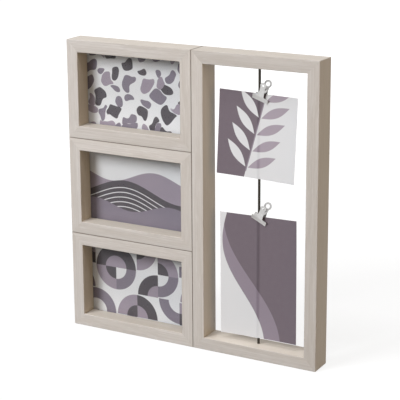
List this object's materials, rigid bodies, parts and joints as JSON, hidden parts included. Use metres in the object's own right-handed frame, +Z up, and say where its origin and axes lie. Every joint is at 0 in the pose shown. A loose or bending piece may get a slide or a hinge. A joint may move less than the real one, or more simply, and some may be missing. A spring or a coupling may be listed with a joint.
{
  "type": "collage photo frame",
  "caption": "Collage photo frame: glazed landscape frames stacked beside a tall open frame whose stretched cord holds cards in sprung clips.",
  "frame": {"origin": "on the shelf plane, at the middle of the overall width and of the wood's depth", "axes": "+Z up, +X to the right seen from the front, +Y towards the back, so the fronts face -Y"},
  "size_m": [0.33, 0.0326, 0.36],
  "materials": {
    "washed_wood": "white-washed, matt",
    "dowel_wood": "bare beech",
    "hardboard": "hardboard, matt",
    "cardboard": "corrugated, matt",
    "glass": "clear picture glass",
    "print_paper": "printed card, semi-matt",
    "cord": "round leather cord, dark brown",
    "clip_metal": "nickel plate, bright",
    "spring_steel": "drawn wire",
    "zinc_steel": "zinc plate"
  },
  "bodies": {
    "frame": {"bottom_back_board": "hardboard", "bottom_filler_pad": "cardboard", "bottom_frame_bottom_rail": "washed_wood", "bottom_frame_left_stile": "washed_wood", "bottom_frame_right_stile": "washed_wood", "bottom_frame_top_rail": "washed_wood", "bottom_glass": "glass", "bottom_print": "print_paper", "cord": "cord", "corner_v_nails": "zinc_steel", "frame_dowels": "dowel_wood", "hanger_nails": "zinc_steel", "left_sawtooth_hanger": "zinc_steel", "middle_back_board": "hardboard", "middle_filler_pad": "cardboard", "middle_frame_bottom_rail": "washed_wood", "middle_frame_left_stile": "washed_wood", "middle_frame_right_stile": "washed_wood", "middle_frame_top_rail": "washed_wood", "middle_glass": "glass", "middle_print": "print_paper", "right_sawtooth_hanger": "zinc_steel", "tall_frame_bottom_rail": "washed_wood", "tall_frame_left_stile": "washed_wood", "tall_frame_right_stile": "washed_wood", "tall_frame_top_rail": "washed_wood", "top_back_board": "hardboard", "top_filler_pad": "cardboard", "top_frame_bottom_rail": "washed_wood", "top_frame_left_stile": "washed_wood", "top_frame_right_stile": "washed_wood", "top_frame_top_rail": "washed_wood", "top_glass": "glass", "top_print": "print_paper", "turn_button_screws": "zinc_steel"},
    "bottom_left_turn_button": {"bottom_left_turn_button": "zinc_steel"},
    "bottom_right_turn_button": {"bottom_right_turn_button": "zinc_steel"},
    "lower_front_jaw": {"lower_clip_front_jaw": "clip_metal"},
    "lower_clip": {"lower_clip_pin": "clip_metal", "lower_clip_rear_jaw": "clip_metal", "lower_clip_spring": "spring_steel"},
    "lower_hanging_card": {"lower_hanging_card": "print_paper"},
    "middle_left_turn_button": {"middle_left_turn_button": "zinc_steel"},
    "middle_right_turn_button": {"middle_right_turn_button": "zinc_steel"},
    "top_left_turn_button": {"top_left_turn_button": "zinc_steel"},
    "top_right_turn_button": {"top_right_turn_button": "zinc_steel"},
    "upper_front_jaw": {"upper_clip_front_jaw": "clip_metal"},
    "upper_clip": {"upper_clip_pin": "clip_metal", "upper_clip_rear_jaw": "clip_metal", "upper_clip_spring": "spring_steel"},
    "upper_hanging_card": {"upper_hanging_card": "print_paper"}
  },
  "joints": [
    {"name": "upper_clip_slide", "type": "slide", "parent": "frame", "child": "upper_clip", "axis": [0, 0, 1], "range_m": [-0.014, 0.014]},
    {"name": "upper_jaw_open", "type": "hinge", "parent": "upper_clip", "child": "upper_front_jaw", "pos_m": [0.09032, -0.0002, 0.3182], "axis": [-0.9455, 0, 0.3256], "range_deg": [0, 50], "stiffness_Nm_per_rad": 0.03, "springref_deg": -57.3, "deforming": ["upper_clip_spring"]},
    {"name": "upper_card_swing", "type": "hinge", "parent": "upper_clip", "child": "upper_hanging_card", "pos_m": [0.08625, -0.00175, 0.30938], "axis": [0, 1, 0], "range_deg": [-5, 5]},
    {"name": "lower_clip_slide", "type": "slide", "parent": "frame", "child": "lower_clip", "axis": [0, 0, 1], "range_m": [-0.003, 0.013]},
    {"name": "lower_jaw_open", "type": "hinge", "parent": "lower_clip", "child": "lower_front_jaw", "pos_m": [0.09037, -0.0002, 0.17603], "axis": [-0.8988, 0, 0.4384], "range_deg": [0, 50], "stiffness_Nm_per_rad": 0.03, "springref_deg": -57.3, "deforming": ["lower_clip_spring"]},
    {"name": "lower_card_swing", "type": "hinge", "parent": "lower_clip", "child": "lower_hanging_card", "pos_m": [0.08489, -0.00175, 0.1678], "axis": [0, 1, 0], "range_deg": [-4, 4]},
    {"name": "bottom_left_button_turn", "type": "hinge", "parent": "frame", "child": "bottom_left_turn_button", "pos_m": [-0.16025, 0.015, 0.06], "axis": [0, 1, 0], "continuous": true},
    {"name": "bottom_right_button_turn", "type": "hinge", "parent": "frame", "child": "bottom_right_turn_button", "pos_m": [0.00025, 0.015, 0.06], "axis": [0, 1, 0], "continuous": true},
    {"name": "middle_left_button_turn", "type": "hinge", "parent": "frame", "child": "middle_left_turn_button", "pos_m": [-0.16025, 0.015, 0.18], "axis": [0, 1, 0], "continuous": true},
    {"name": "middle_right_button_turn", "type": "hinge", "parent": "frame", "child": "middle_right_turn_button", "pos_m": [0.00025, 0.015, 0.18], "axis": [0, 1, 0], "continuous": true},
    {"name": "top_left_button_turn", "type": "hinge", "parent": "frame", "child": "top_left_turn_button", "pos_m": [-0.16025, 0.015, 0.3], "axis": [0, 1, 0], "continuous": true},
    {"name": "top_right_button_turn", "type": "hinge", "parent": "frame", "child": "top_right_turn_button", "pos_m": [0.00025, 0.015, 0.3], "axis": [0, 1, 0], "continuous": true}
  ]
}
